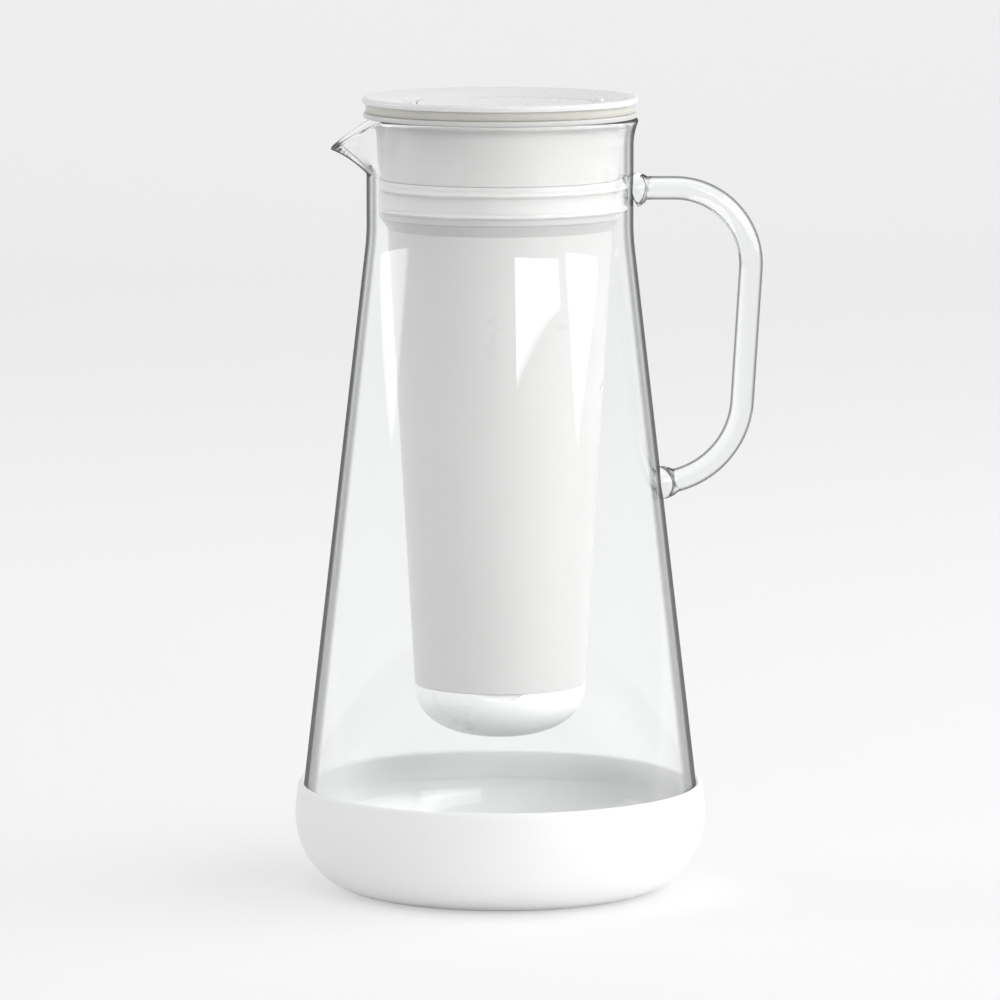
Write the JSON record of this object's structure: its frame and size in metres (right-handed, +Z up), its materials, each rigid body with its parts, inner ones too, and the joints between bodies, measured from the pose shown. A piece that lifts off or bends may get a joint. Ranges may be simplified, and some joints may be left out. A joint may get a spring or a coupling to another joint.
{
  "type": "water filter pitcher",
  "caption": "Handled glass pitcher in a white silicone base, with a drop-in filter reservoir and a lid with a dished flip door for filling.",
  "frame": {"origin": "on the body's axis, at the underside of the silicone base", "axes": "+Z up, +X towards the handle, -X towards the pouring lip, -Y the side with the filter cup's thumb notch"},
  "size_m": [0.1594, 0.1402, 0.2713],
  "materials": {
    "clear_glass": "clear polished glass with a faint green edge",
    "white_silicone": "matte white silicone",
    "white_plastic": "semi-gloss white moulded plastic",
    "seal_silicone": "translucent warm silicone",
    "pin_steel": "drawn steel",
    "filter_plastic": "matte white moulded plastic",
    "screen_mesh": "fine woven nylon mesh",
    "carbon_block": "pressed carbon granules"
  },
  "bodies": {
    "carafe": {"glass_body": "clear_glass", "glass_handle": "clear_glass", "silicone_base": "white_silicone"},
    "hopper": {"reservoir": "white_plastic", "collar_gasket": "seal_silicone"},
    "lid": {"lid_top": "white_plastic", "lid_insert": "white_plastic", "lid_gasket": "seal_silicone", "door_seal": "seal_silicone", "hinge_pin": "pin_steel"},
    "door": {"flip_door": "white_plastic"},
    "cup": {"filter_cup": "white_plastic", "cup_seal": "seal_silicone"},
    "cartridge": {"filter_housing": "filter_plastic", "filter_cap": "filter_plastic", "inlet_screen": "screen_mesh", "carbon_media": "carbon_block", "outlet_screen": "screen_mesh", "filter_seal": "seal_silicone", "pull_tab": "seal_silicone"}
  },
  "joints": [
    {"name": "reservoir_lift", "type": "slide", "parent": "carafe", "child": "hopper", "axis": [0, 0, 1], "range_m": [0, 0.22]},
    {"name": "lid_lift", "type": "slide", "parent": "hopper", "child": "lid", "axis": [0, 0, 1], "range_m": [0, 0.06]},
    {"name": "door_hinge", "type": "hinge", "parent": "lid", "child": "door", "pos_m": [-0.03, 0, 0.26716], "axis": [0, -1, 0], "range_deg": [0, 100]},
    {"name": "cup_pull", "type": "slide", "parent": "hopper", "child": "cup", "axis": [0, 0, -1], "range_m": [0, 0.035]},
    {"name": "cartridge_lift", "type": "slide", "parent": "cup", "child": "cartridge", "axis": [0, 0, 1], "range_m": [0, 0.06]}
  ]
}
